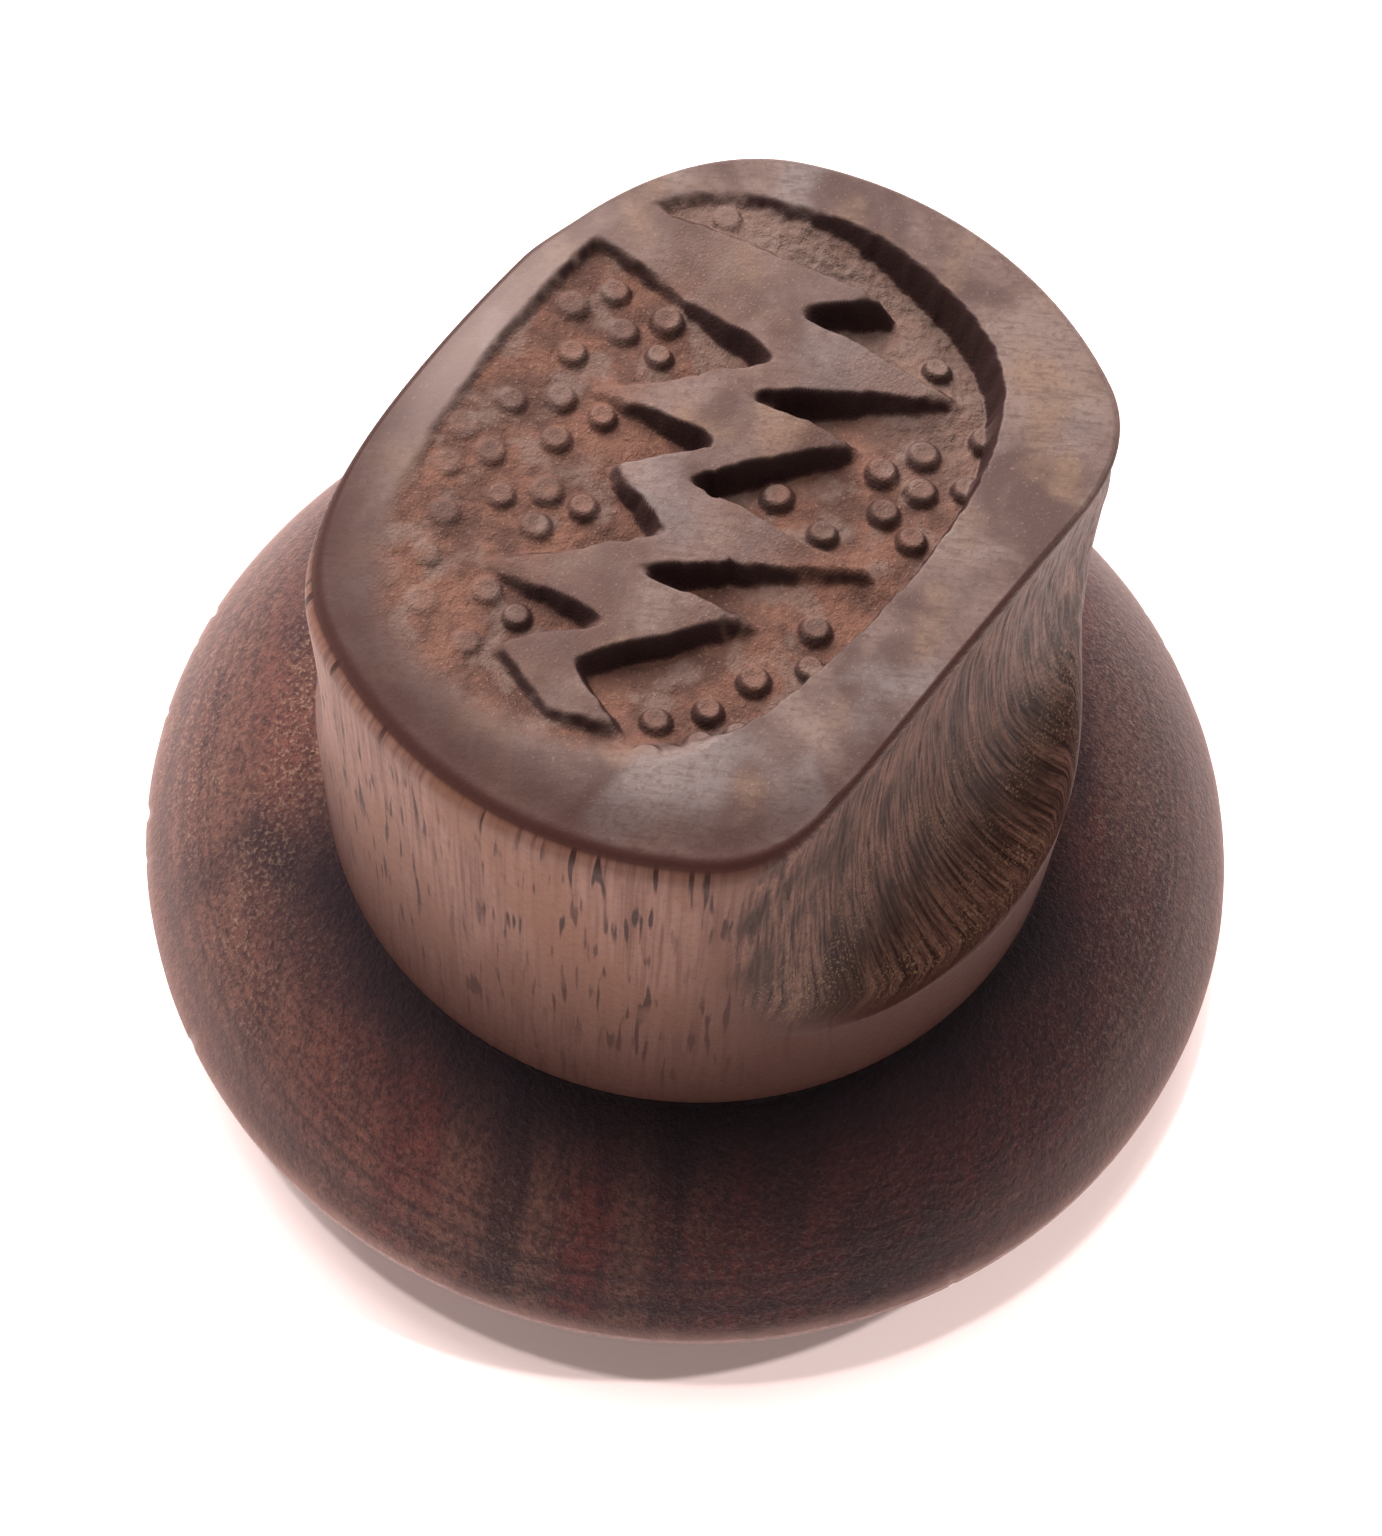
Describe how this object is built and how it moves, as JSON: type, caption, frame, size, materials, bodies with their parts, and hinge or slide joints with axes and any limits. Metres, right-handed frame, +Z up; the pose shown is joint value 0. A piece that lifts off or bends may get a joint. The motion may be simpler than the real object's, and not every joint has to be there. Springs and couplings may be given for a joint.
{
  "type": "leather edge slicker",
  "caption": "Round turned-wood burnishing disc with a coved rim and an upright oval grip, finger scoops in its sides and a carved top.",
  "frame": {"origin": "centre of the disc's flat rest face", "axes": "+Z up the turning axis to the carved top, +X along the grip's long axis, -Y through the deeper finger scoop"},
  "size_m": [0.05, 0.05, 0.0353],
  "materials": {
    "disc_walnut": "dark walnut, end grain up, oiled satin",
    "grip_walnut": "walnut, grain upright, oiled satin, carved top",
    "dowel_beech": "plain fluted dowel, hidden"
  },
  "bodies": {
    "root": {"slicker_disc": "disc_walnut", "grip_handle": "grip_walnut", "joining_dowel": "dowel_beech"}
  },
  "joints": []
}
